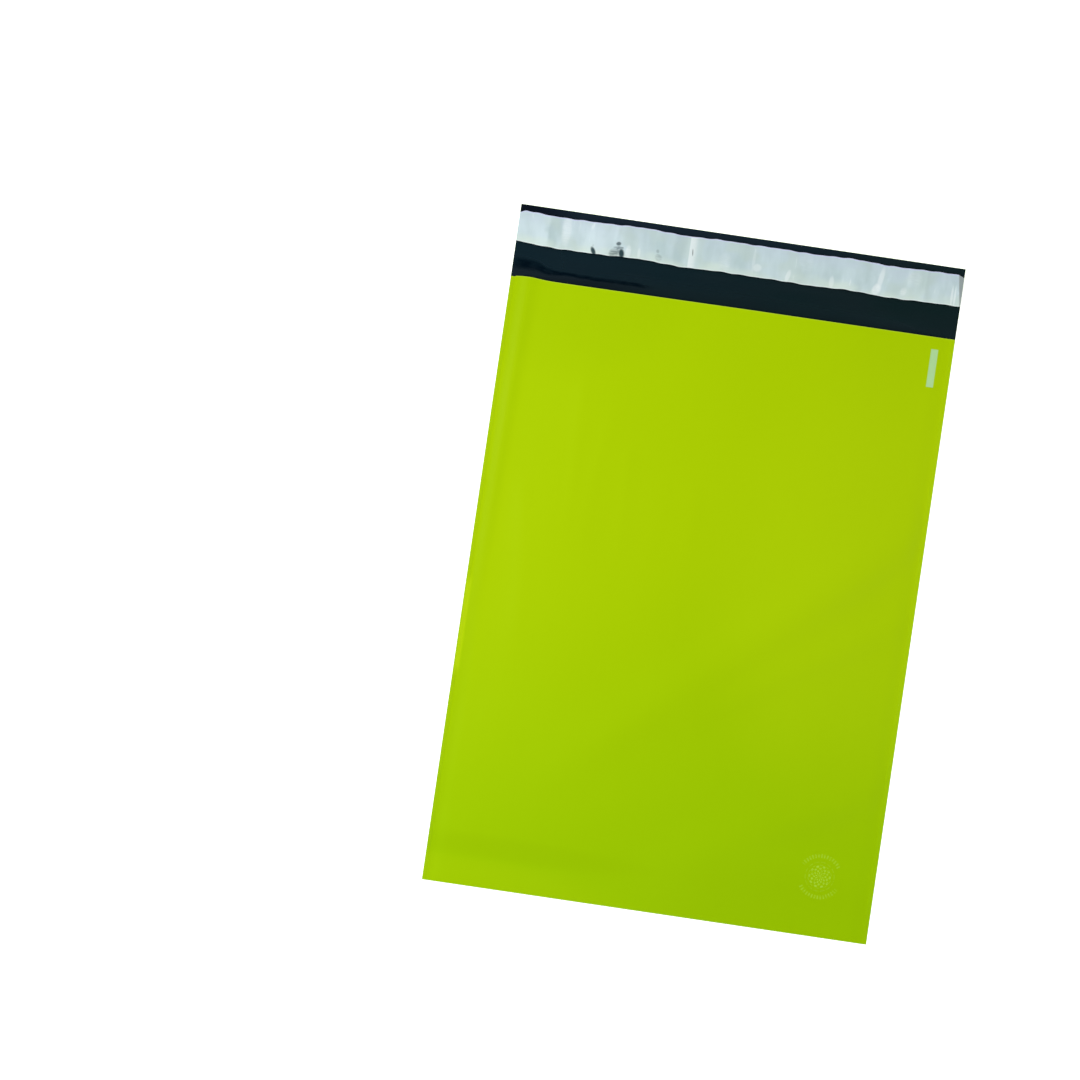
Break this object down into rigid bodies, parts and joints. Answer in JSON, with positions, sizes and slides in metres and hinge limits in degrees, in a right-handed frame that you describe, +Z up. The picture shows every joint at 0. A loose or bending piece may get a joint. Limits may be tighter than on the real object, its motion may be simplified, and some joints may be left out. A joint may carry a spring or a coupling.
{
  "type": "poly mailer bag",
  "caption": "Flat film mailing bag, empty and open: folded across the bottom, welded along both sides, its closing flap laid out with an adhesive strip under a release liner.",
  "frame": {"origin": "centre of the bounding box's bottom face: under the middle of the bag, on the surface that it lies on", "axes": "+X across the bag to the right seen from above with the flap away from the viewer, +Y from the bottom fold to the flap's tip, +Z up out of the front panel"},
  "size_m": [0.2286, 0.3476, 0.0086],
  "materials": {
    "lime_film": "glossy lime green film, black on the inside",
    "clear_adhesive": "clear pressure-sensitive adhesive",
    "silver_liner": "pale silvery film, smooth and rippled"
  },
  "bodies": {
    "root": {"bag_film": "lime_film", "adhesive_strip": "clear_adhesive", "release_liner": "silver_liner"}
  },
  "joints": []
}
